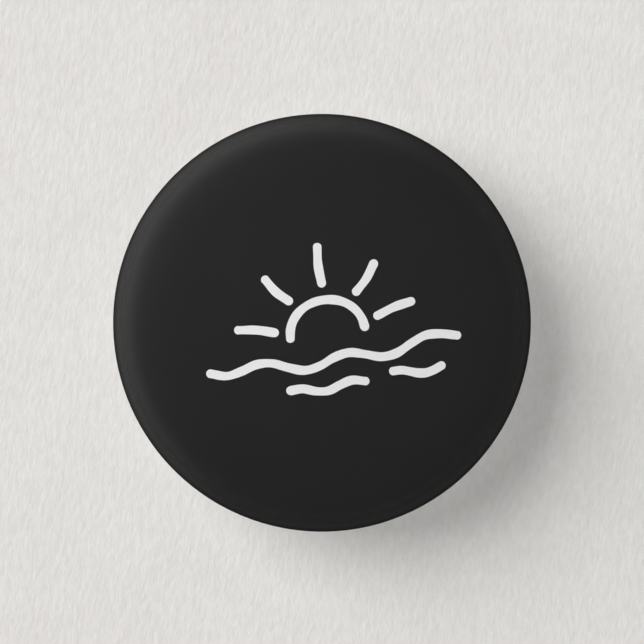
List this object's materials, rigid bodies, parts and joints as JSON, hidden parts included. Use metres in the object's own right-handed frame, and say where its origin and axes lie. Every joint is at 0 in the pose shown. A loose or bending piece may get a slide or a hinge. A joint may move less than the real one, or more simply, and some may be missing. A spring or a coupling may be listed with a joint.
{
  "type": "button badge",
  "caption": "Round pin-back button badge with a domed black face, white line artwork, and a spring wire pin across its recessed back plate.",
  "frame": {"origin": "centre of the badge, on the plane of its flat back rim", "axes": "-Y out of the face, +Y out of the back where the pin is, +Z towards the top of the artwork, +X to the right as the face is seen"},
  "size_m": [0.032, 0.0083, 0.032],
  "materials": {
    "clear_film": "clear satin polyester film",
    "black_print": "solid black print",
    "white_print": "unprinted white lines of the artwork",
    "tinplate": "satin tinplate",
    "pin_wire": "nickel-plated spring wire"
  },
  "bodies": {
    "badge": {"cover_film": "clear_film", "artwork_print": "black_print", "front_shell": "tinplate", "back_plate": "tinplate", "pin_base": "pin_wire"},
    "spring": {"pin_coil": "pin_wire"},
    "needle": {"pin_needle": "pin_wire"}
  },
  "joints": [
    {"name": "needle_side", "type": "hinge", "parent": "badge", "child": "spring", "pos_m": [0.0106, -0.00088, -0.001], "axis": [0, -1, 0], "range_deg": [-4, 3.1]},
    {"name": "needle_open", "type": "hinge", "parent": "spring", "child": "needle", "pos_m": [0.0106, 0.00042, 0.0011], "axis": [0, 0, -1], "range_deg": [-3, 45]}
  ]
}
